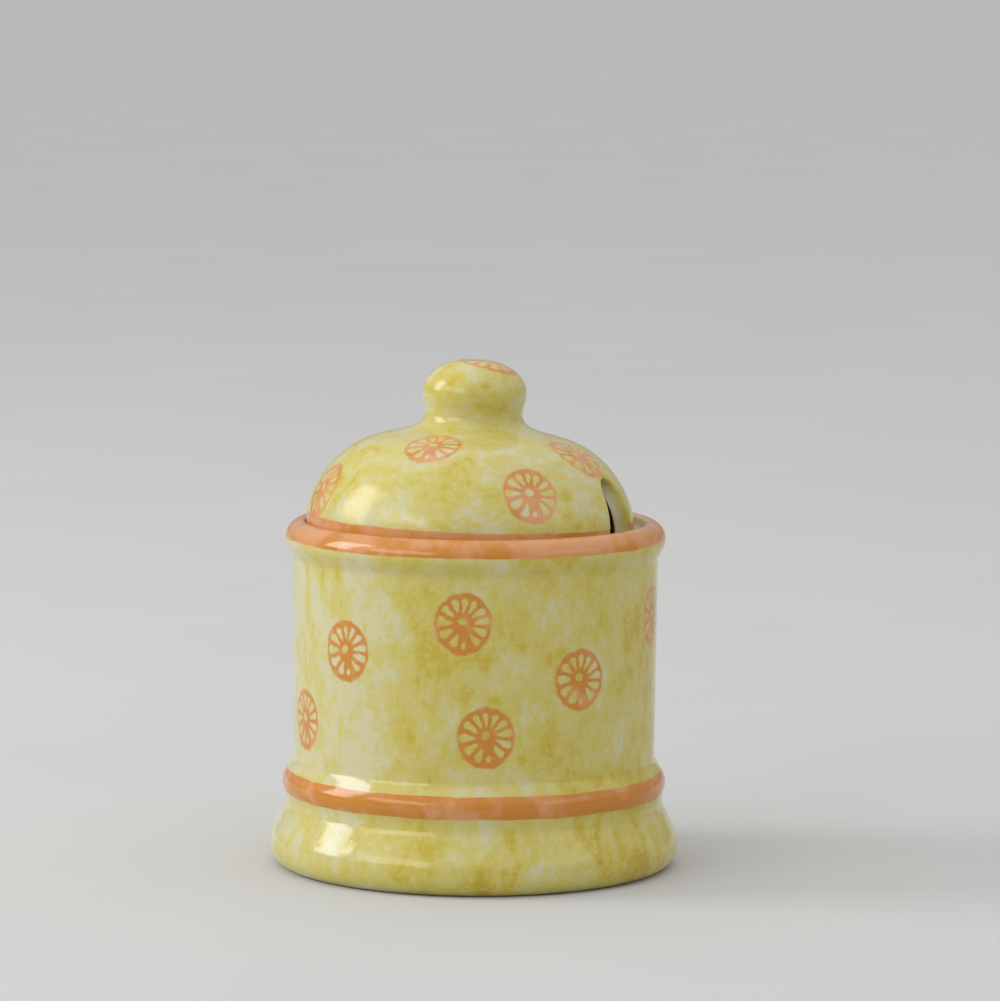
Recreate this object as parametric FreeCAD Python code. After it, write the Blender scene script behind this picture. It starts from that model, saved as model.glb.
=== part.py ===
import FreeCAD
import Part
import math
import os

# Lidded ceramic jam pot, in millimetres. The pot stands on its foot ring at Z = 0 with its
# axis on Z. Both pieces are turned shapes: an outline in the XZ plane revolved about Z.

# Pot: overall sizes
pot_height = 82.2        # foot to the top of the lip
body_radius = 43.35      # outside of the body, just under the lip
body_taper = 0.4         # the body is this much slimmer where it leaves the belt
wall = 4.4               # body wall
floor_thickness = 5.0

# Pot: flared foot and the ring it stands on
foot_flare = 5.35        # how far the foot stands out past the body
foot_height = 7.0        # height at which the foot starts to draw in
foot_edge_round = 4.4
foot_shoulder_round = 7.9
foot_ring_width = 7.7
foot_ring_round = 0.8
recess_depth = 3.0       # hollow underside inside the foot ring
recess_slope = 1.0
recess_round = 1.5

# Pot: waist above the foot, and the raised belt
waist_height = 15.5
waist_flare = 1.15
waist_round = 4.7
belt_height = 20.6       # height of the belt's widest line
belt_flare = 2.75
belt_round = 4.4
belt_top = 25.5          # height at which the belt runs out into the body
belt_top_round = 3.4

# Pot: lip, and the gallery inside it that carries the lid
lip_flare = 1.85
lip_thickness = 4.8
lip_inner_round = 0.7
lip_crest_flat = 0.1
lip_side = 1.0           # from the crest's rounding down to the end of the lip's side
lip_side_round = 3.4
lip_slope_height = 3.55  # the slope under the lip
lip_slope_round = 1.0
gallery_depth = 4.4      # crest to ledge
gallery_straight = 0.3   # plain wall between the crest's rounding and the cove
ledge_width = 5.6
ledge_thickness = 3.0
ledge_edge_round = 0.8
ledge_under_round = 1.0
ledge_slope_height = 4.5
ledge_slope_round = 3.0
inner_corner_round = 8.0

# Lid: rim and dome. The dome is one smooth curve drawn towards its control points. Heights
# are above the rim's flat underside.
lid_play = 1.42          # radial room between the rim and the gallery wall
lid_wall = 4.0
rim_round = 1.2
rim_height = 1.5         # plain rim above its underside
rim_pull = 3.0           # the two control heights that keep the dome's start upright
shoulder_pull = 9.5
crown_step = 12.35       # the crown's control point stands in from the rim, and so high
crown_height = 25.1
shoulder_inner_drop = 0.6  # the matching points on the inside stand lower and further in
crown_inner_step = 2.6
crown_inner_drop = 4.6
ceiling_radius = 14.8
ceiling_height = 20.4

# Lid: knob. Its side leans out in a straight line from the neck's control point.
neck_radius = 10.0       # control point of the hollow neck
neck_height = 24.3
neck_top_height = 30.6   # where the neck's curve meets the knob's side
knob_edge_radius = 13.2
knob_edge_height = 35.75
knob_edge_round = 6.3
knob_crown_corner = 6.65
knob_crown_round = 12.5
lid_height = 41.35

# Lid: arched notch in the rim, for a spoon's handle
notch_arch_radius = 5.7
notch_height = 15.2
notch_lean = 10.0        # degrees by which its sides spread towards the rim
notch_angle = -21.6      # degrees about Z, from +X
notch_round = 1.0        # softened edges of the notch

# How the lid sits: pushed over until one side of its rim rides up the gallery's cove
lid_lift = 1.98          # height of the raised side over the low side
seat_gap = 0.05          # fine room left at both seats

touching = 0.0001        # closer than this counts as touching

# Sizes that both pieces share
lip_radius = body_radius + lip_flare
gallery_radius = lip_radius - lip_thickness
ledge_height = pot_height - gallery_depth
cove_radius = gallery_depth - lip_inner_round - gallery_straight
rim_radius = gallery_radius - lid_play


def point(radius, height):
    return FreeCAD.Vector(radius, 0, height)


def reach_of_rounds(corners):
    """How far each corner's rounding runs along its sides, short enough for the side it shares."""
    reaches = [0.0] * len(corners)
    for i in range(1, len(corners) - 1):
        here = point(*corners[i][:2])
        to_last = point(*corners[i - 1][:2]) - here
        to_next = point(*corners[i + 1][:2]) - here
        reaches[i] = corners[i][2] / math.tan(to_last.getAngle(to_next) / 2)
    for i in range(len(corners) - 1):
        side = (point(*corners[i + 1][:2]) - point(*corners[i][:2])).Length
        share = min(1.0, side / max(reaches[i] + reaches[i + 1], side))
        reaches[i] *= share
        reaches[i + 1] *= share
    return reaches


def rounded_run(corners):
    """Lines and arcs through (radius, height, rounding) corners, with plain ends."""
    reaches = reach_of_rounds(corners)
    edges = []
    start = point(*corners[0][:2])
    for i in range(1, len(corners)):
        here = point(*corners[i][:2])
        back = (point(*corners[i - 1][:2]) - here).normalize()
        end = here + back * reaches[i]
        if (end - start).Length > touching:
            edges.append(Part.LineSegment(start, end).toShape())
        start = end
        if reaches[i] > 0:
            ahead = (point(*corners[i + 1][:2]) - here).normalize()
            half = back.getAngle(ahead) / 2
            radius = reaches[i] * math.tan(half)
            middle = here + (back + ahead).normalize() * (radius / math.sin(half) - radius)
            start = here + ahead * reaches[i]
            edges.append(Part.Arc(end, middle, start).toShape())
    return edges


def smooth_run(poles):
    """One smooth curve from the first (radius, height) point to the last, drawn towards the rest."""
    degree = 3
    spans = len(poles) - degree
    knots = [i / spans for i in range(spans + 1)]
    repeats = [degree + 1] + [1] * (spans - 1) + [degree + 1]
    curve = Part.BSplineCurve()
    curve.buildFromPolesMultsKnots([point(*pole) for pole in poles], repeats, knots, False, degree)
    return curve.toShape()


def turned(edges):
    """Solid of revolution about Z of an outline that starts and ends on the axis."""
    start = edges[0].Vertexes[0].Point
    end = edges[-1].Vertexes[-1].Point
    axis_side = Part.LineSegment(end, start).toShape()
    face = Part.Face(Part.Wire(edges + [axis_side]))
    return face.revolve(FreeCAD.Vector(0, 0, 0), FreeCAD.Vector(0, 0, 1), 360)


def pot():
    foot_radius = body_radius + foot_flare
    ring_inner = foot_radius - foot_ring_width
    inner_radius = body_radius - body_taper - wall
    bore_radius = gallery_radius - ledge_width
    lip_outer_round = lip_thickness - lip_inner_round - lip_crest_flat
    lip_side_end = pot_height - lip_outer_round - lip_side
    ledge_underside = ledge_height - ledge_thickness
    floor_top = recess_depth + floor_thickness
    underside = [
        (0, recess_depth, 0),
        (ring_inner - recess_slope, recess_depth, recess_round),
        (ring_inner, 0, foot_ring_round),
    ]
    outside = [
        (foot_radius, 0, foot_edge_round),
        (foot_radius, foot_height, foot_shoulder_round),
        (body_radius + waist_flare, waist_height, waist_round),
        (body_radius + belt_flare, belt_height, belt_round),
        (body_radius - body_taper, belt_top, belt_top_round),
        (body_radius, lip_side_end - lip_slope_height, lip_slope_round),
        (lip_radius, lip_side_end, lip_side_round),
        (lip_radius, pot_height, lip_outer_round),
    ]
    gallery = [
        (gallery_radius, pot_height, lip_inner_round),
        (gallery_radius, ledge_height, cove_radius),
        (bore_radius, ledge_height, ledge_edge_round),
        (bore_radius, ledge_underside, ledge_under_round),
    ]
    inside = [
        (inner_radius, ledge_underside - ledge_slope_height, ledge_slope_round),
        (inner_radius, floor_top, inner_corner_round),
        (0, floor_top, 0),
    ]
    return turned(rounded_run(underside + outside + gallery + inside))


def lid_body():
    """The lid before its notch, upright, with the rim's underside at Z = 0."""
    rim_inner = rim_radius - lid_wall
    crown_radius = rim_radius - crown_step
    lean = (knob_edge_radius - neck_radius) / (knob_edge_height - neck_height)
    neck_top_radius = neck_radius + lean * (neck_top_height - neck_height)
    inside = [
        (0, ceiling_height),
        (ceiling_radius, ceiling_height),
        (crown_radius - crown_inner_step, crown_height - crown_inner_drop),
        (rim_inner, shoulder_pull - shoulder_inner_drop),
        (rim_inner, rim_pull),
        (rim_inner, rim_height),
    ]
    rim = [
        (rim_inner, rim_height, 0),
        (rim_inner, 0, rim_round),
        (rim_radius, 0, rim_round),
        (rim_radius, rim_height, 0),
    ]
    dome = [
        (rim_radius, rim_height),
        (rim_radius, rim_pull),
        (rim_radius, shoulder_pull),
        (crown_radius, crown_height),
        (neck_radius, neck_height),
        (neck_top_radius, neck_top_height),
    ]
    knob = [
        (neck_top_radius, neck_top_height, 0),
        (knob_edge_radius, knob_edge_height, knob_edge_round),
        (knob_crown_corner, lid_height, knob_crown_round),
        (0, lid_height, 0),
    ]
    outline = [smooth_run(inside)] + rounded_run(rim) + [smooth_run(dome)] + rounded_run(knob)
    return turned(outline)


def notch_cutter():
    """Arch-shaped bar along +X that opens the rim on one side."""
    lean = math.radians(notch_lean)
    across = notch_arch_radius * math.cos(lean)
    spring = notch_height - notch_arch_radius + notch_arch_radius * math.sin(lean)
    below = -2 * rim_round
    spread = across + (spring - below) * math.tan(lean)
    start = rim_radius / 2
    foot_left = FreeCAD.Vector(start, -spread, below)
    spring_left = FreeCAD.Vector(start, -across, spring)
    top = FreeCAD.Vector(start, 0, notch_height)
    spring_right = FreeCAD.Vector(start, across, spring)
    foot_right = FreeCAD.Vector(start, spread, below)
    arch = [
        Part.LineSegment(foot_left, spring_left).toShape(),
        Part.Arc(spring_left, top, spring_right).toShape(),
        Part.LineSegment(spring_right, foot_right).toShape(),
        Part.LineSegment(foot_right, foot_left).toShape(),
    ]
    return Part.Face(Part.Wire(arch)).extrude(FreeCAD.Vector(rim_radius, 0, 0))


def notch_edges(solid, cutter):
    """Edges where the notch breaks through the lid's inner and outer skins."""
    skin = cutter.Shells[0]
    found = []
    for edge in solid.Edges:
        if edge.Degenerated:
            continue
        points = edge.discretize(3)
        chord = points[2] - points[0]
        if chord.Length < touching or abs(chord.x) > 0.999 * chord.Length:
            continue
        if max(skin.distToShape(Part.Vertex(spot))[0] for spot in points) < touching:
            found.append(edge)
    return found


def lid():
    cutter = notch_cutter()
    notched = lid_body().cut(cutter)
    return notched.makeFillet(notch_round, notch_edges(notched, cutter))


def seated(solid):
    """Place the lid: its +X side rests on the ledge and its -X side stands on the cove."""
    swing = rim_radius - rim_round
    tilt = math.asin(lid_lift / (2 * swing))
    cove_room = cove_radius - rim_round
    drop = cove_room - min(lid_lift, cove_room)
    reach = math.sqrt((cove_room - seat_gap) ** 2 - drop ** 2)
    slide = gallery_radius - cove_radius + reach - swing * math.cos(tilt) + rim_round * math.sin(tilt)
    lift = swing * math.sin(tilt) + rim_round * (1 - math.cos(tilt))
    placed = solid.copy()
    placed.rotate(FreeCAD.Vector(0, 0, 0), FreeCAD.Vector(0, 0, 1), notch_angle)
    placed.rotate(FreeCAD.Vector(0, 0, 0), FreeCAD.Vector(0, 1, 0), math.degrees(tilt))
    placed.translate(FreeCAD.Vector(-slide, 0, ledge_height + seat_gap + lift))
    return placed


os.makedirs("parts", exist_ok=True)
pot().exportStep("parts/pot.step")
seated(lid()).exportStep("parts/lid.step")
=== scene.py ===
import math
import bpy
import numpy as np
from mathutils import Matrix, Vector


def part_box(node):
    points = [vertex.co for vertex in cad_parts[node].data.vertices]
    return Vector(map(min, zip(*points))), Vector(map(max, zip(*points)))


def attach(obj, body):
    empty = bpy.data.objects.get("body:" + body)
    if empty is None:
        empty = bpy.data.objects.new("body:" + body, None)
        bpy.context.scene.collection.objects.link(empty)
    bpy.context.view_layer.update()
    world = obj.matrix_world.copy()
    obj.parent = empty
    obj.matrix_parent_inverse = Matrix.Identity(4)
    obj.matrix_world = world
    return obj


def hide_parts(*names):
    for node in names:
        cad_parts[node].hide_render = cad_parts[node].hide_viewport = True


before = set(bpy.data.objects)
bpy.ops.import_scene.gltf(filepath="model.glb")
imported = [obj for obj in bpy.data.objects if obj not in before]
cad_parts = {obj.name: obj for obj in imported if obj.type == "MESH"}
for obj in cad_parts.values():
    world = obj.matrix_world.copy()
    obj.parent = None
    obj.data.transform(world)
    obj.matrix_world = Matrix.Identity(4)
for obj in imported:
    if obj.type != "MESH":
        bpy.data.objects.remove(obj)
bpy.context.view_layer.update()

MM = 0.001

# ---------------------------------------------------------------------------
# Sizes, in millimetres. The overall ones come from the frame.
# ---------------------------------------------------------------------------
pot_low, pot_high = (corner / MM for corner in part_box("pot"))
POT_HEIGHT = pot_high.z
FOOT_RADIUS = (pot_high.x - pot_low.x) / 2

# Pot: foot, and the ring it stands on
FOOT_FLARE = 5.35
FOOT_ROUND = 4.4
FOOT_HEIGHT = 7.0
FOOT_SHOULDER_ROUND = 7.9
RING_WIDTH = 7.7
RING_ROUND = 0.8
RECESS_DEPTH = 3.0
RECESS_SLOPE = 1.0
RECESS_ROUND = 1.5

# Pot: body, waist and belt
BODY_RADIUS = FOOT_RADIUS - FOOT_FLARE
BODY_TAPER = 0.4
WALL = 4.4
FLOOR_TOP = 8.0
INNER_CORNER_ROUND = 8.0
WAIST_HEIGHT = 15.5
WAIST_FLARE = 1.15
WAIST_ROUND = 4.7
BELT_HEIGHT = 20.6
BELT_FLARE = 2.75
BELT_ROUND = 4.4
BELT_TOP = 25.5
BELT_TOP_ROUND = 3.4

# Pot: lip, and the gallery inside it
LIP_FLARE = 1.85
LIP_RADIUS = BODY_RADIUS + LIP_FLARE
LIP_THICKNESS = 4.8
LIP_OUTER_ROUND = 4.0
LIP_INNER_ROUND = 0.7
LIP_SIDE = 1.0
LIP_SIDE_ROUND = 3.4
LIP_SLOPE_HEIGHT = 3.55
LIP_SLOPE_ROUND = 1.0
GALLERY_RADIUS = LIP_RADIUS - LIP_THICKNESS
GALLERY_DEPTH = 4.4
LEDGE_HEIGHT = POT_HEIGHT - GALLERY_DEPTH
LEDGE_WIDTH = 5.6
LEDGE_THICKNESS = 3.0
LEDGE_EDGE_ROUND = 0.8
LEDGE_UNDER_ROUND = 1.0
LEDGE_SLOPE_HEIGHT = 4.5
LEDGE_SLOPE_ROUND = 3.0
COVE_RADIUS = 3.4

# Lid: rim and dome, as heights above the rim's underside
LID_PLAY = 1.42
RIM_RADIUS = GALLERY_RADIUS - LID_PLAY
RIM_ROUND = 1.2
RIM_HEIGHT = 1.5
RIM_PULL = 3.0           # heights of the two poles that keep the dome's start upright
SHOULDER_PULL = 9.5
LID_WALL = 4.0
LID_HEIGHT = 41.35
CROWN_STEP = 12.35       # the crown's pole stands in from the rim
CROWN_HEIGHT = 25.1
SHOULDER_INNER_DROP = 0.6
CROWN_INNER_STEP = 2.6
CROWN_INNER_DROP = 4.6
CEILING_RADIUS = 14.8
CEILING_HEIGHT = 20.4

# Lid: knob
NECK_RADIUS = 10.0
NECK_HEIGHT = 24.3
NECK_TOP_HEIGHT = 30.6
KNOB_EDGE_RADIUS = 13.2
KNOB_EDGE_HEIGHT = 35.75
KNOB_EDGE_ROUND = 6.3
KNOB_CROWN_CORNER = 6.65
KNOB_CROWN_ROUND = 12.5

# Lid: notch for a spoon's handle
NOTCH_ARCH = 5.7
NOTCH_HEIGHT = 15.2
NOTCH_LEAN = math.radians(10.0)
NOTCH_ANGLE = math.radians(-21.6)
NOTCH_NARROWING = 2.0    # at each side, from the outer skin to the inner one

# How the lid sits
LID_LIFT = 1.98
SEAT_GAP = 0.05

# Painted bands
LIP_BAND_LOW = 78.3      # height on the lip's side where its band starts
LIP_BAND_END = 41.0      # radius on the crest where it ends
LIP_BAND_END_SWAY = 0.8  # half of how much further in that end lies at -X than at +X
BELT_BAND = ((1.9, 17.7), (1.2, 23.0))  # its two edges: how far past the body, and height
LID_BAND_HIGH = 4.6      # above the rim's underside

STAMP_RADIUS = 7.15      # of the stamped rosettes
STAMP_REACH = 1.2        # how far past its edge a rosette's own coordinates go

# Hand-made unevenness at the foot's radius: the least that a surface is drawn in by, and how
# much more at most, in waves of (share, waves a turn, phase, drift for each mm of height).
DRAWN_IN_LEAST = 0.015
DRAWN_IN_MORE = 0.03
WAVES = ((0.5, 2, 0.9, 0.012), (0.3, 3, -1.3, -0.03), (0.2, 5, 0.4, 0.05))


# ---------------------------------------------------------------------------
# Outlines
# ---------------------------------------------------------------------------
def rounded(corners, steps=10):
    """Points along a run of (radius, height, rounding) corners, roundings sharing a side between them."""
    places = [np.array(corner[:2], float) for corner in corners]
    count = len(corners)
    sides = [np.linalg.norm(places[i + 1] - places[i]) for i in range(count - 1)]
    ways = [(places[i + 1] - places[i]) / sides[i] for i in range(count - 1)]
    halves = [0.0] + [math.acos(float(-ways[i - 1] @ ways[i])) / 2 for i in range(1, count - 1)]
    reaches = [0.0] + [corners[i][2] / math.tan(halves[i]) for i in range(1, count - 1)] + [0.0]
    for i in range(count - 1):
        share = min(1.0, sides[i] / max(reaches[i] + reaches[i + 1], sides[i]))
        reaches[i] *= share
        reaches[i + 1] *= share
    points = [places[0]]
    for i in range(1, count - 1):
        radius = reaches[i] * math.tan(halves[i])
        back, ahead = -ways[i - 1], ways[i]
        centre = places[i] + (back + ahead) / np.linalg.norm(back + ahead) * radius / math.sin(halves[i])
        start = places[i] + back * reaches[i] - centre
        end = places[i] + ahead * reaches[i] - centre
        turn = math.pi - 2 * halves[i]
        for k in range(steps + 1):
            arm = start * math.sin((1 - k / steps) * turn) + end * math.sin(k / steps * turn)
            points.append(centre + arm / math.sin(turn))
    points.append(places[-1])
    return np.array(points)


def smooth(poles, count=240):
    """Points on the clamped cubic B-spline of these (radius, height) poles."""
    poles = np.array(poles, float)
    spans = len(poles) - 3
    knots = np.concatenate([[0] * 3, np.arange(spans + 1), [spans] * 3])
    points = []
    for t in np.linspace(0, spans, count):
        k = min(int(t), spans - 1) + 3
        local = [poles[j] for j in range(k - 3, k + 1)]
        for level in range(1, 4):
            for j in range(3, level - 1, -1):
                low = knots[j + k - 3]
                share = (t - low) / (knots[j + 1 + k - level] - low)
                local[j] = (1 - share) * local[j - 1] + share * local[j]
        points.append(local[3])
    return np.array(points)


class Outline:
    """A run of points in (radius, height), read by the distance along it."""

    spacing = 0.05

    def __init__(self, points):
        steps = np.linalg.norm(np.diff(points, axis=0), axis=1)
        along = np.concatenate([[0], np.cumsum(steps)])
        self.length = along[-1]
        self.along = np.linspace(0, self.length, int(self.length / self.spacing))
        self.points = np.stack([np.interp(self.along, along, points[:, k]) for k in (0, 1)], axis=1)

    def at(self, along):
        """Radius and height at these distances along the outline."""
        radius = np.interp(along, self.along, self.points[:, 0])
        height = np.interp(along, self.along, self.points[:, 1])
        return radius, height

    def nearest(self, radius, height):
        """Distance along the outline of its point nearest to this one."""
        gaps = np.hypot(self.points[:, 0] - radius, self.points[:, 1] - height)
        return self.along[int(np.argmin(gaps))]


ring_inner = FOOT_RADIUS - RING_WIDTH
bore_radius = GALLERY_RADIUS - LEDGE_WIDTH
inner_radius = BODY_RADIUS - BODY_TAPER - WALL
lip_side_end = POT_HEIGHT - LIP_OUTER_ROUND - LIP_SIDE
ledge_underside = LEDGE_HEIGHT - LEDGE_THICKNESS

# From the middle of the underside round the outside and over the lip to the middle of the floor
pot_outline = Outline(rounded([
    (0.0, RECESS_DEPTH, 0),
    (ring_inner - RECESS_SLOPE, RECESS_DEPTH, RECESS_ROUND),
    (ring_inner, 0, RING_ROUND),
    (FOOT_RADIUS, 0, FOOT_ROUND),
    (FOOT_RADIUS, FOOT_HEIGHT, FOOT_SHOULDER_ROUND),
    (BODY_RADIUS + WAIST_FLARE, WAIST_HEIGHT, WAIST_ROUND),
    (BODY_RADIUS + BELT_FLARE, BELT_HEIGHT, BELT_ROUND),
    (BODY_RADIUS - BODY_TAPER, BELT_TOP, BELT_TOP_ROUND),
    (BODY_RADIUS, lip_side_end - LIP_SLOPE_HEIGHT, LIP_SLOPE_ROUND),
    (LIP_RADIUS, lip_side_end, LIP_SIDE_ROUND),
    (LIP_RADIUS, POT_HEIGHT, LIP_OUTER_ROUND),
    (GALLERY_RADIUS, POT_HEIGHT, LIP_INNER_ROUND),
    (GALLERY_RADIUS, LEDGE_HEIGHT, COVE_RADIUS),
    (bore_radius, LEDGE_HEIGHT, LEDGE_EDGE_ROUND),
    (bore_radius, ledge_underside, LEDGE_UNDER_ROUND),
    (inner_radius, ledge_underside - LEDGE_SLOPE_HEIGHT, LEDGE_SLOPE_ROUND),
    (inner_radius, FLOOR_TOP, INNER_CORNER_ROUND),
    (0.0, FLOOR_TOP, 0),
]))

rim_inner = RIM_RADIUS - LID_WALL
crown_radius = RIM_RADIUS - CROWN_STEP
neck = np.array([NECK_RADIUS, NECK_HEIGHT])
knob_edge = np.array([KNOB_EDGE_RADIUS, KNOB_EDGE_HEIGHT])
neck_top = neck + (knob_edge - neck) * (NECK_TOP_HEIGHT - NECK_HEIGHT) / (KNOB_EDGE_HEIGHT - NECK_HEIGHT)

dome_poles = [
    (RIM_RADIUS, RIM_HEIGHT),
    (RIM_RADIUS, RIM_PULL),
    (RIM_RADIUS, SHOULDER_PULL),
    (crown_radius, CROWN_HEIGHT),
    neck,
    neck_top,
]
knob_corners = [
    (*neck_top, 0),
    (*knob_edge, KNOB_EDGE_ROUND),
    (KNOB_CROWN_CORNER, LID_HEIGHT, KNOB_CROWN_ROUND),
    (0, LID_HEIGHT, 0),
]
ceiling_poles = [
    (0.0, CEILING_HEIGHT),
    (CEILING_RADIUS, CEILING_HEIGHT),
    (crown_radius - CROWN_INNER_STEP, CROWN_HEIGHT - CROWN_INNER_DROP),
    (rim_inner, SHOULDER_PULL - SHOULDER_INNER_DROP),
    (rim_inner, RIM_PULL),
    (rim_inner, RIM_HEIGHT),
]
# Both skins of the lid run from the axis down to the rim's underside.
dome_and_knob = np.vstack([[(RIM_RADIUS, 0.0)], smooth(dome_poles), rounded(knob_corners, steps=30)])
lid_outer = Outline(dome_and_knob[::-1])
lid_inner = Outline(np.vstack([smooth(ceiling_poles), [(rim_inner, 0.0)]]))

# How the lid sits: pushed towards -X until that side rides up the gallery's cove.
swing = RIM_RADIUS - RIM_ROUND
tilt = math.asin(LID_LIFT / (2 * swing))
cove_room = COVE_RADIUS - RIM_ROUND
cove_reach = math.sqrt((cove_room - SEAT_GAP) ** 2 - (cove_room - LID_LIFT) ** 2)
slide = GALLERY_RADIUS - COVE_RADIUS + cove_reach - swing * math.cos(tilt) + RIM_ROUND * math.sin(tilt)
seat_lift = swing * math.sin(tilt) + RIM_ROUND * (1 - math.cos(tilt))
lid_place = Vector((-slide, 0, LEDGE_HEIGHT + SEAT_GAP + seat_lift))
lid_turn = np.array(Matrix.Rotation(tilt, 3, "Y"))


def seated(points):
    """From the upright lid to where it sits on the pot."""
    return points @ lid_turn.T + np.array(lid_place)


# ---------------------------------------------------------------------------
# Meshes
# ---------------------------------------------------------------------------
def uneven(points):
    """Draw a turned surface in by a little here and there, as hands and drying leave it."""
    x, y, z = points[..., 0], points[..., 1], points[..., 2]
    turn = np.arctan2(y, x)
    wave = sum(size * np.sin(count * turn + phase + z * drift) for size, count, phase, drift in WAVES)
    share = 1 - (DRAWN_IN_LEAST + DRAWN_IN_MORE * (0.5 + 0.5 * wave)) / FOOT_RADIUS
    return np.stack([x * share, y * share, z], axis=-1)


def grid_mesh(name, grid, attributes):
    """A closed mesh from rows of rings, with a pole at each end, and vectors held at its points."""
    rows, columns = grid.shape[:2]
    poles = [grid[0].mean(axis=0), grid[-1].mean(axis=0)]
    points = np.vstack([grid.reshape(-1, 3), poles]) * MM
    first_pole = rows * columns
    faces = []
    last = (rows - 1) * columns
    for i in range(columns):
        j = (i + 1) % columns
        faces.append((first_pole, j, i))
        faces.append((first_pole + 1, last + i, last + j))
    for row in range(rows - 1):
        low = row * columns
        high = low + columns
        for i in range(columns):
            j = (i + 1) % columns
            faces.append((low + i, low + j, high + j, high + i))
    mesh = bpy.data.meshes.new(name)
    mesh.from_pydata(points.tolist(), [], faces)
    for key, values in attributes.items():
        ends = [values[0].mean(axis=0), values[-1].mean(axis=0)]
        flat = np.vstack([values.reshape(-1, 3), ends]).astype(np.float32)
        mesh.attributes.new(key, "FLOAT_VECTOR", "POINT").data.foreach_set("vector", flat.ravel())
    mesh.shade_smooth()
    mesh.update()
    piece = bpy.data.objects.new(name, mesh)
    bpy.context.scene.collection.objects.link(piece)
    return piece


def turned_about_z(radius, height, angle):
    """Points at these radii, heights and angles."""
    height = np.broadcast_to(height, np.broadcast(radius, angle).shape)
    return np.stack([radius * np.cos(angle), radius * np.sin(angle), height], axis=-1)


def stamped(grid, stamps):
    """Each point's place on the rosette it lies under, in rosette radii, and 1 there or else 0."""
    spot = np.zeros(grid.shape)
    for centre, across, upward in stamps:
        offset = grid - centre
        near = np.linalg.norm(offset, axis=-1) < STAMP_RADIUS + STAMP_REACH
        outward = np.cross(across, upward)
        near &= offset @ outward > -STAMP_RADIUS / 2
        for k, way in enumerate((across, upward)):
            spot[..., k] = np.where(near, offset @ way / STAMP_RADIUS, spot[..., k])
        spot[..., 2] = np.where(near, 1.0, spot[..., 2])
    return spot


def stamp_place(outline, along, azimuth, spin):
    """Centre of a rosette stamped on a turned surface, and its ways across and upward."""
    ahead = 0.2
    radius, height = outline.at(along)
    next_radius, next_height = outline.at(along + ahead)
    angle = math.radians(azimuth - 90)
    outward = np.array([math.cos(angle), math.sin(angle), 0])
    slope = outward * (next_radius - radius) + np.array([0, 0, next_height - height])
    slope /= np.linalg.norm(slope)
    if slope[2] < 0:
        slope = -slope
    level = np.array([-math.sin(angle), math.cos(angle), 0])
    spin = math.radians(spin)
    across = level * math.cos(spin) + slope * math.sin(spin)
    upward = slope * math.cos(spin) - level * math.sin(spin)
    return outward * radius + np.array([0, 0, height]), across, upward


# ---------------------------------------------------------------------------
# Pot
# ---------------------------------------------------------------------------
# Rosettes on the body: azimuth in degrees from -Y towards +X, height, and spin.
BODY_STAMPS = [
    (-3.4, 63.0, -4), (-43.5, 54.9, 3), (34.6, 49.2, -2), (3.9, 36.6, 2), (-66.8, 36.6, 5),
    (75.0, 61.2, 0), (-101.0, 62.0, -6), (106.0, 39.5, 4), (137.0, 61.5, -5),
    (-131.0, 40.0, 6), (167.0, 38.0, -3), (-162.0, 61.5, 7),
]


def row_places(stretches):
    """Distances along an outline, from the (end, spacing) of each stretch."""
    places = []
    start = 0.0
    for end, spacing in stretches:
        count = max(2, int(round((end - start) / spacing)))
        places.append(np.linspace(start, end, count, endpoint=False))
        start = end
    return np.concatenate(places)


def make_pot():
    """The pot as rings along its outline, close together where it shows or bends."""
    columns = 380
    least_radius = 0.05
    inside_fade = 0.6
    bare_fade = 2.4
    ring = pot_outline.nearest(ring_inner - RECESS_SLOPE, RECESS_DEPTH - 0.5)
    crest = pot_outline.nearest(GALLERY_RADIUS, POT_HEIGHT - 0.5)
    bore = pot_outline.nearest(bore_radius, ledge_underside)
    along = row_places([
        (0.4, 0.4),                       # middle of the underside
        (ring - 1.5, 3.0),                # recess
        (crest, 0.7),                     # outside and lip
        (bore + 1, 0.6),                  # gallery
        (pot_outline.length - 0.4, 2.6),  # inside
    ])[:, None]
    angle = np.linspace(0, 2 * math.pi, columns, endpoint=False)[None, :]
    radius, height = pot_outline.at(along)
    grid = turned_about_z(np.maximum(radius, least_radius), height, angle)

    stamps = []
    for azimuth, stamp_height, spin in BODY_STAMPS:
        stamp_along = pot_outline.nearest(BODY_RADIUS, stamp_height)
        stamps.append(stamp_place(pot_outline, stamp_along, azimuth, spin))

    # The lip's orange ends on the crest, further in at -X. The standing ring is bare of glaze.
    band_end = pot_outline.nearest(LIP_BAND_END, POT_HEIGHT) + LIP_BAND_END_SWAY * (1 - np.cos(angle))
    standing = pot_outline.nearest(FOOT_RADIUS - FOOT_ROUND, 0)
    place = np.zeros(grid.shape)
    place[..., 0] = along
    place[..., 1] = np.clip((along - band_end) / inside_fade, 0, 1)
    place[..., 2] = np.clip(1 - (along - standing) / bare_fade, 0, 1)
    return grid_mesh("pot_glazed", uneven(grid), {"spot": stamped(grid, stamps), "place": place})


# ---------------------------------------------------------------------------
# Lid
# ---------------------------------------------------------------------------
# Rosettes on the dome: azimuth as above, radius on the dome and spin.
DOME_STAMPS = [
    (-23.2, 23.3, 0), (23.2, 35.3, -4), (-71.5, 36.8, 4), (62.9, 27.8, 2),
    (112.0, 35.2, -5), (-112.0, 24.5, 6), (152.0, 24.0, 3), (-155.0, 35.0, -3),
]
# The one on the knob: azimuth, distance from the middle of its top, and spin.
KNOB_STAMP = (75.0, 3.3, 0)


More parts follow.
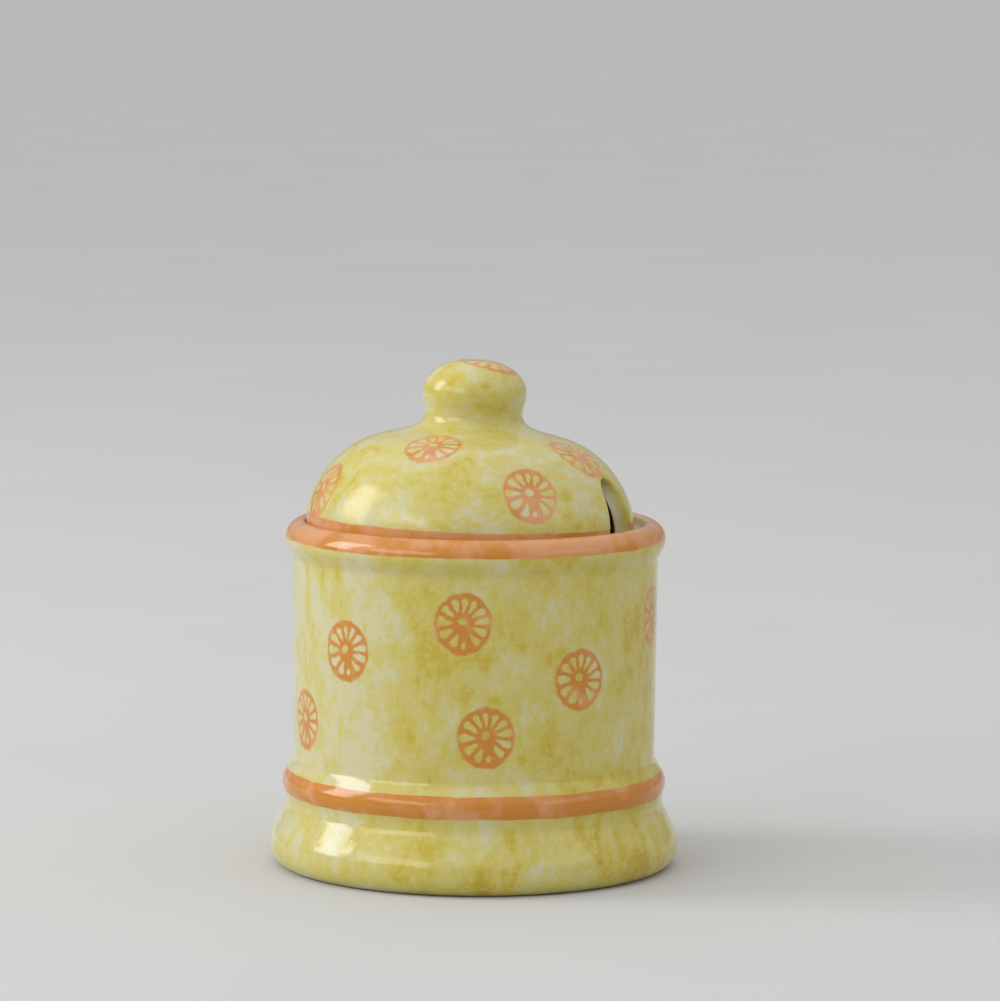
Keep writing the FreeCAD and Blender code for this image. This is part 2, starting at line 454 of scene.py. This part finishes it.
def notch_contour(spacing=0.55):
    """Half of the lid's lower edge, from the top of the notch round to the far side.
    Gives heights, and azimuths from the notch on the outer and on the inner skin."""
    centre = NOTCH_HEIGHT - NOTCH_ARCH
    arch = np.linspace(math.pi / 2, NOTCH_LEAN, int(NOTCH_ARCH * math.pi / 2 / spacing))
    spring = centre + NOTCH_ARCH * math.sin(NOTCH_LEAN)
    side = np.linspace(spring, 0, int(spring / spacing))[1:]
    flare = NOTCH_ARCH * math.cos(NOTCH_LEAN) + (spring - side) * math.tan(NOTCH_LEAN)
    offset = np.concatenate([NOTCH_ARCH * np.cos(arch), flare])
    height = np.concatenate([centre + NOTCH_ARCH * np.sin(arch), side])
    skins = []
    for outline, narrowing in ((lid_outer, 0.0), (lid_inner, NOTCH_NARROWING)):
        order = np.argsort(outline.points[:, 1], kind="stable")
        wide = outline.points[order]
        wide = wide[wide[:, 0] > rim_inner / 2]
        half_width = offset - np.minimum(narrowing, offset)
        skins.append(np.arcsin(half_width / np.interp(height, wide[:, 1], wide[:, 0])))
    count = int((math.pi - skins[0][-1]) * RIM_RADIUS / spacing)
    height = np.concatenate([height, np.zeros(count)])
    outer, inner = [np.concatenate([skin, np.linspace(skin[-1], math.pi, count + 1)[1:]]) for skin in skins]
    return height, outer, inner


def mirrored(values, sign):
    """Both halves of a closed run, from its first half, which starts and ends on the mirror line."""
    return np.concatenate([values, sign * values[-2:0:-1]])


def lid_edge_along(outline, height):
    """Distance along a lid outline at which its side, outside and below the neck, passes these heights."""
    side_radius = crown_radius / 1.6
    side_top = 24.0
    side = (outline.points[:, 0] > side_radius) & (outline.points[:, 1] < side_top)
    order = np.argsort(outline.points[side, 1], kind="stable")
    return np.interp(height, outline.points[side, 1][order], outline.along[side][order])


def skin_rows(outline, edge_along, edge_angle, top_angle, fan_start, above, fanned):
    """Rows of rings from an outline's start down to the lid's lower edge. The columns stand at
    their top angles as far as fan_start, and from there they fan out to meet the edge. The rows
    lie above apart before the fan, about fanned apart in it, and closest together at the edge."""
    first = 0.3
    edge_rows = 7
    edge_spacing = 0.36
    near_edge = np.arange(edge_rows)[::-1] * edge_spacing
    fan_reach = RIM_RADIUS * 1.2
    shares = np.linspace(0, 1, int(fan_reach / fanned))[:-1]
    rows = [np.full(len(edge_along), along) for along in np.arange(first, fan_start, above)]
    rows += [fan_start + share * (edge_along - near_edge[0] - fan_start) for share in shares]
    rows += [edge_along - gap for gap in near_edge]
    grid = []
    for along in rows:
        share = np.clip((along - fan_start) / (edge_along - fan_start), 0, 1)
        radius, height = outline.at(along)
        grid.append(turned_about_z(radius, height, top_angle + share * (edge_angle - top_angle)))
    return np.array(grid)


def soften(grid, first, last, rounds):
    """Round the edges from the first of these rows to the last, fading out over five rows."""
    fade_rows = 5.0
    rows = np.arange(len(grid))
    fade = np.clip(1 - np.maximum(first - rows, rows - last) / fade_rows, 0, 1)[:, None, None]
    for _ in range(rounds):
        mean = grid.copy()
        mean[1:-1] = (grid[:-2] + 2 * grid[1:-1] + grid[2:]) / 4
        grid = grid + fade * (mean - grid)
    return grid


def lid_stamps():
    """Rosettes on the dome and the one on top of the knob."""
    stamps = []
    for azimuth, radius, spin in DOME_STAMPS:
        above_crown = lid_outer.points[:, 1] > CROWN_HEIGHT - 0.1
        gap = np.where(above_crown, np.inf, np.abs(lid_outer.points[:, 0] - radius))
        stamps.append(stamp_place(lid_outer, lid_outer.along[int(np.argmin(gap))], azimuth, spin))
    azimuth, along, spin = KNOB_STAMP
    stamps.append(stamp_place(lid_outer, along, azimuth, spin))
    return stamps


def make_lid():
    """The lid as an outer skin, the wall of its lower edge and an inner skin, in one grid."""
    height, outer_angle, inner_angle = notch_contour()
    step = np.hypot(np.diff(height), np.diff(outer_angle) * RIM_RADIUS)
    top_angle = np.concatenate([[0], np.cumsum(step)])
    top_angle *= math.pi / top_angle[-1]
    height = mirrored(height, 1)
    outer_angle, inner_angle, top_angle = [mirrored(a, -1) for a in (outer_angle, inner_angle, top_angle)]

    # The columns fan out from just outside the neck, and inside from 8 mm off the axis.
    outer_along = lid_edge_along(lid_outer, height)
    inner_along = lid_edge_along(lid_inner, height)
    outer_fan = lid_outer.nearest(crown_radius - 12, 24.5)
    inner_fan = 8.0
    outer = skin_rows(lid_outer, outer_along, outer_angle, top_angle, outer_fan, above=0.6, fanned=0.75)
    inner = skin_rows(lid_inner, inner_along, inner_angle, top_angle, inner_fan, above=2.0, fanned=1.6)
    wall_rows = 10
    across = [outer[-1] + (inner[-1] - outer[-1]) * k / (wall_rows + 1) for k in range(1, wall_rows + 1)]
    grid = np.concatenate([outer, np.array(across), inner[::-1]])

    outer_edge = len(outer) - 1
    inner_edge = outer_edge + wall_rows + 1
    place = np.zeros(grid.shape)
    place[..., 0] = grid[..., 2]
    place[..., 1] = np.clip((np.arange(len(grid)) - outer_edge) / (wall_rows + 1), 0, 1)[:, None]
    grid = soften(grid, outer_edge - 2, outer_edge + 4, rounds=18)
    grid = soften(grid, inner_edge - 1, inner_edge + 1, rounds=3)
    grid = grid @ np.array(Matrix.Rotation(NOTCH_ANGLE, 3, "Z")).T
    spot = stamped(grid, lid_stamps())
    return grid_mesh("lid_glazed", seated(uneven(grid)), {"spot": spot, "place": place})


# ---------------------------------------------------------------------------
# Materials
# ---------------------------------------------------------------------------
def linear(red, green, blue):
    """Scene colour of an 8-bit screen colour."""
    shares = [c / 255 for c in (red, green, blue)]
    return [s / 12.92 if s <= 0.04045 else ((s + 0.055) / 1.055) ** 2.4 for s in shares] + [1.0]


CREAM = linear(206, 201, 156)
PALE = linear(205, 196, 128)
YELLOW = linear(204, 192, 106)
DEEP = linear(202, 187, 88)
OCHRE = linear(198, 177, 64)
MUSTARD = linear(191, 167, 54)
FLECK = linear(214, 196, 136)
SALMON = linear(216, 152, 100)
ORANGE = linear(202, 131, 44)
INSIDE = linear(229, 223, 192)
BARE = linear(230, 225, 205)

# Tones of the sponged ground over the darkest, mustard: where each starts, and where it is full
TONES = [
    (0.36, 0.39, OCHRE),
    (0.41, 0.44, DEEP),
    (0.46, 0.485, YELLOW),
    (0.51, 0.54, PALE),
    (0.55, 0.59, CREAM),
]


class Nodes:
    """Short calls that add a shader node and give its output."""

    def __init__(self, owner):
        self.tree = owner.node_tree

    def add(self, kind, inputs, **settings):
        node = self.tree.nodes.new(kind)
        for key, value in settings.items():
            setattr(node, key, value)
        for key, value in inputs.items():
            if isinstance(value, bpy.types.NodeSocket):
                self.tree.links.new(value, node.inputs[key])
            else:
                node.inputs[key].default_value = value
        return node

    def math(self, operation, *values, clamp=False):
        sockets = dict(enumerate(values))
        return self.add("ShaderNodeMath", sockets, operation=operation, use_clamp=clamp).outputs[0]

    def plus(self, first, second):
        return self.math("ADD", first, second)

    def minus(self, first, second):
        return self.math("SUBTRACT", first, second)

    def times(self, first, second):
        return self.math("MULTIPLY", first, second)

    def times_plus(self, value, factor, added, clamp=False):
        return self.math("MULTIPLY_ADD", value, factor, added, clamp=clamp)

    def apart(self, first, second):
        return self.math("ABSOLUTE", self.minus(first, second))

    def length(self, across, upward):
        return self.math("SQRT", self.plus(self.times(across, across), self.times(upward, upward)))

    def step(self, value, low, high):
        """0 below low and 1 above high, smooth between. With low above high it falls instead."""
        sockets = {"Value": value, "From Min": low, "From Max": high}
        return self.add("ShaderNodeMapRange", sockets, interpolation_type="SMOOTHSTEP").outputs[0]

    def between(self, value, low, high, soft):
        """1 between two values, with soft edges."""
        rise = self.step(value, low - soft, low + soft)
        return self.times(rise, self.step(value, high + soft, high - soft))

    def mix(self, factor, first, second):
        """From the first colour at 0 to the second at 1. Sockets 6, 7 and output 2 are the colours."""
        return self.add("ShaderNodeMix", {0: factor, 6: first, 7: second}, data_type="RGBA").outputs[2]

    def noise(self, vector, scale, detail=2.0, rough=0.5, output="Fac"):
        sockets = {"Vector": vector, "Scale": scale, "Detail": detail, "Roughness": rough}
        return self.add("ShaderNodeTexNoise", sockets).outputs[output]

    def position(self, output):
        return self.add("ShaderNodeTexCoord", {}).outputs[output]

    def attribute(self, name):
        return self.add("ShaderNodeAttribute", {}, attribute_name=name).outputs["Vector"]

    def parts(self, vector):
        return self.add("ShaderNodeSeparateXYZ", {0: vector}).outputs

    def vector_math(self, operation, first, second):
        return self.add("ShaderNodeVectorMath", {0: first, 1: second}, operation=operation).outputs[0]

    def scaled(self, vector, factors):
        return self.vector_math("MULTIPLY", vector, factors)


def sponged(nodes, where, flatness, paler, lit_side_paling):
    """Colour of the sponged ground: patches and dabs of cream, yellow and ochre. The dabs are
    flatness times wider than high. The whole is paler, and paler still a mm towards -X, the side
    the key light falls on, which is painted light."""
    drawn = nodes.scaled(where, (1.0, 1.0, flatness))
    total = nodes.times(nodes.noise(drawn, 0.052, 3.0, 0.6), 0.55)
    total = nodes.times_plus(nodes.noise(drawn, 0.26, 4.0, 0.65), 0.37, total)
    total = nodes.times_plus(nodes.noise(where, 0.8, 1.0), 0.08, total)
    # Upright strokes, here and there
    strokes = nodes.noise(nodes.scaled(where, (1.0, 1.0, 0.3 * flatness)), 0.25, 2.0)
    stroked = nodes.step(nodes.noise(where, 0.04, 1.0), 0.52, 0.60)
    total = nodes.times_plus(nodes.times(nodes.minus(strokes, 0.58), stroked), 0.40, total)
    # Painted light: the ground turns paler towards -X, the side the key light falls on.
    total = nodes.plus(total, nodes.times_plus(nodes.parts(where)[0], -lit_side_paling, paler))
    colour = MUSTARD
    for low, high, tone in TONES:
        colour = nodes.mix(nodes.step(total, low, high), colour, tone)
    flecks = nodes.step(nodes.noise(where, 0.6, 1.0), 0.61, 0.66)
    return nodes.mix(nodes.times(flecks, 0.35), colour, FLECK)


def rosette_gaps(nodes, across, upward):
    """Where a rosette's ground shows between its spokes, hub and rim, in rosette radii."""
    out = nodes.length(across, upward)
    turn = nodes.math("ARCTAN2", upward, across)
    # Twelve spokes, closer together at the upper right
    spokes = 12
    crowding = nodes.math("SINE", nodes.minus(turn, 0.87))
    turn_even = nodes.times_plus(crowding, 0.15, turn)
    cell = nodes.math("FRACT", nodes.times_plus(turn_even, spokes / (2 * math.pi), 20.35))
    aside = nodes.apart(cell, 0.5)
    from_middle = nodes.times(nodes.minus(0.5, aside), 2 * math.pi / spokes)
    clear = nodes.step(nodes.times(from_middle, out), 0.042, 0.092)
    # The rim is thin at the left and right, and rounds off the gaps' outer ends.
    rim = nodes.times_plus(nodes.math("COSINE", nodes.times(turn, 2.0)), 0.047, 0.845)
    rim = nodes.times_plus(nodes.times(aside, aside), -0.7, rim)
    before_rim = nodes.step(out, nodes.plus(rim, 0.05), nodes.minus(rim, 0.05))
    after_hub = nodes.step(out, 0.31, 0.42)
    gaps = nodes.times(nodes.times(clear, before_rim), after_hub)
    # One heavy spoke runs straight down from the hub and holds a small gap of its own.
    from_stem = nodes.apart(across, 0.09)
    stem = nodes.times(nodes.step(from_stem, 0.20, 0.12), nodes.step(upward, -0.05, -0.15))
    gaps = nodes.times(gaps, nodes.minus(1.0, stem))
    stem_gap = nodes.length(from_stem, nodes.times(nodes.plus(upward, 0.68), 0.8))
    gaps = nodes.math("MAXIMUM", gaps, nodes.step(stem_gap, 0.11, 0.05))
    # The hub has a hole, wider than high and a little off the middle.
    hole = nodes.length(nodes.plus(across, 0.03), nodes.times(nodes.minus(upward, 0.07), 1.25))
    return nodes.math("MAXIMUM", gaps, nodes.step(hole, 0.19, 0.12))


def rosette(nodes, where):
    """How much orange a stamped rosette leaves: a rim, a hub and spokes between."""
    wobble = nodes.noise(where, 0.5, 2.0, output="Color")
    wobble = nodes.scaled(nodes.vector_math("SUBTRACT", wobble, (0.5, 0.5, 0.5)), (0.16, 0.16, 0.0))
    spot = nodes.scaled(nodes.attribute("spot"), (1.05, 0.97, 1.0))
    across, upward, inside = nodes.parts(nodes.vector_math("ADD", spot, wobble))
    edge = nodes.step(nodes.length(across, upward), 1.03, 0.93)
    ink = nodes.times(edge, nodes.minus(1.0, rosette_gaps(nodes, across, upward)))
    ink = nodes.times(ink, nodes.step(inside, 0.9, 0.98))
    strength = nodes.times_plus(nodes.noise(where, 0.35, 2.0), 1.0, 0.50, clamp=True)
    return nodes.times(ink, strength)


def painted_orange(nodes, where):
    """The orange of bands and rosettes, thinner in places, and lightened towards salmon from 66 to 82 mm
    high, over the lip and the lid, as painted light.
    """
    # Painted light: higher up, the orange is lightened towards salmon as if better lit.
    painted_light_above = nodes.step(nodes.parts(where)[2], 66.0, 82.0)
    thickness = nodes.times_plus(painted_light_above, -0.13, nodes.noise(where, 0.12, 3.0, 0.6))
    return nodes.mix(nodes.step(thickness, 0.30, 0.52), SALMON, ORANGE)


def glaze_material(name, bands, ground, rough):
    """Glossy clear glaze over the sponged ground, with rosettes and painted bands.
    Bands are (from, to) values of the first part of the place held at the mesh points;
    its second part says how far inside, and its third how bare of glaze."""
    material = bpy.data.materials.new(name)
    material.use_nodes = True
    nodes = Nodes(material)
    links = material.node_tree.links
    shader = material.node_tree.nodes["Principled BSDF"]
    where = nodes.scaled(nodes.position("Object"), (1 / MM, 1 / MM, 1 / MM))
    along, inside, bare = nodes.parts(nodes.attribute("place"))
    brushed = nodes.plus(along, nodes.times_plus(nodes.noise(where, 0.09, 2.0), 1.0, -0.5))

    orange = painted_orange(nodes, where)
    colour = nodes.mix(rosette(nodes, where), sponged(nodes, where, **ground), orange)
    outside = nodes.step(inside, 0.12, 0.02)
    for low, high in bands:
        painted = nodes.times(nodes.between(brushed, low, high, 0.16), outside)
        colour = nodes.mix(painted, colour, orange)
    colour = nodes.mix(nodes.step(inside, 0.15, 0.95), colour, INSIDE)
    colour = nodes.mix(bare, colour, BARE)
    links.new(colour, shader.inputs["Base Color"])

    roughness = nodes.times_plus(nodes.noise(where, 0.4, 2.0), 0.08, rough)
    roughness = nodes.times_plus(nodes.step(bare, 0.7, 1.0), 0.6, roughness)
    links.new(roughness, shader.inputs["Roughness"])
    swell = nodes.plus(nodes.noise(where, 0.10, 1.0), nodes.times(nodes.noise(where, 0.45, 2.0), 0.12))
    bump = nodes.add("ShaderNodeBump", {"Height": swell, "Strength": 0.55, "Distance": 0.0006})
    links.new(bump.outputs[0], shader.inputs["Normal"])
    return material


def floor_material():
    """Matte and nearly white, a little cloudy."""
    material = bpy.data.materials.new("floor_matte")
    material.use_nodes = True
    nodes = Nodes(material)
    shader = material.node_tree.nodes["Principled BSDF"]
    cloudy = nodes.noise(nodes.position("Object"), 9.0, 4.0)
    tone = nodes.mix(cloudy, linear(199, 200, 200), linear(206, 207, 207))
    material.node_tree.links.new(tone, shader.inputs["Base Color"])
    shader.inputs["Roughness"].default_value = 0.9
    return material


# ---------------------------------------------------------------------------
# Pieces
# ---------------------------------------------------------------------------
lip_band = (
    pot_outline.nearest(LIP_RADIUS, LIP_BAND_LOW),
    pot_outline.nearest(LIP_BAND_END, POT_HEIGHT) + 4.0,  # past where the inside begins
)
belt_band = [pot_outline.nearest(BODY_RADIUS + flare, height) for flare, height in BELT_BAND]
lid_band = (-5.0, LID_BAND_HIGH)  # from below the rim

pot = make_pot()
# The pot's ground turns paler towards -X, as painted light on the key light's side.
pot_ground = {"flatness": 0.8, "paler": 0.003, "lit_side_paling": 0.0011}
pot.data.materials.append(glaze_material("pot_glaze", [lip_band, belt_band], pot_ground, rough=0.09))
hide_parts("pot")

lid = make_lid()
lid_ground = {"flatness": 1.7, "paler": 0.028, "lit_side_paling": 0.0}
lid.data.materials.append(glaze_material("lid_glaze", [lid_band], lid_ground, rough=0.16))
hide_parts("lid")

for piece in (pot, lid):
    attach(piece, "root")


# ---------------------------------------------------------------------------
# Floor, camera and light
# ---------------------------------------------------------------------------
def make_floor():
    """A plain square, wide enough to reach the horizon behind the pot."""
    half = 40.0
    corners = [(-half, -half, 0), (half, -half, 0), (half, half, 0), (-half, half, 0)]
    mesh = bpy.data.meshes.new("floor")
    mesh.from_pydata(corners, [], [(0, 1, 2, 3)])
    mesh.materials.append(floor_material())
    floor = bpy.data.objects.new("floor", mesh)
    bpy.context.scene.collection.objects.link(floor)


def make_camera():
    """In front of the pot, a little above it, looking slightly down."""
    data = bpy.data.cameras.new("camera")
    data.lens = 179.8
    data.sensor_width = 36
    camera = bpy.data.objects.new("camera", data)
    place = Matrix.Translation((0.0057, -1.179, 0.2184))  # in metres
    look_down = Matrix.Rotation(math.radians(90 - 6.37), 4, "X")
    roll = Matrix.Rotation(math.radians(0.45), 4, "Z")
    camera.matrix_world = place @ look_down @ roll
    bpy.context.scene.collection.objects.link(camera)
    bpy.context.scene.camera = camera


def softbox(name, azimuth, elevation, distance, width, height, power):
    """Area light that faces the pot. Azimuth in degrees from -Y towards +X."""
    data = bpy.data.lights.new(name, "AREA")
    data.shape = "RECTANGLE"
    data.size = width
    data.size_y = height
    data.energy = power
    light = bpy.data.objects.new(name, data)
    turn = math.radians(azimuth - 90)
    rise = math.radians(elevation)
    target = Vector((0, 0, 0.055))
    offset = Vector((math.cos(rise) * math.cos(turn), math.cos(rise) * math.sin(turn), math.sin(rise)))
    light.location = target + offset * distance
    light.rotation_euler = offset.to_track_quat("Z", "Y").to_euler()
    bpy.context.scene.collection.objects.link(light)


def make_world():
    """A pale dome, dim at the horizon and brighter overhead."""
    world = bpy.data.worlds.new("studio")
    bpy.context.scene.world = world
    world.use_nodes = True
    nodes = Nodes(world)
    background = world.node_tree.nodes["Background"]
    background.inputs["Color"].default_value = linear(250, 249, 248)
    height = nodes.parts(nodes.position("Generated"))[2]
    strength = nodes.times_plus(nodes.math("MAXIMUM", height, 0.0), 0.80, 0.30)
    world.node_tree.links.new(strength, background.inputs["Strength"])


make_floor()
make_camera()
softbox("key", azimuth=-92, elevation=27, distance=1.6, width=0.6, height=0.9, power=9.5)
softbox("front", azimuth=-48, elevation=25, distance=2.0, width=1.5, height=0.6, power=7.5)
softbox("fill", azimuth=62, elevation=26, distance=2.0, width=1.3, height=0.6, power=1.8)
make_world()
bpy.context.scene.view_settings.view_transform = "Standard"
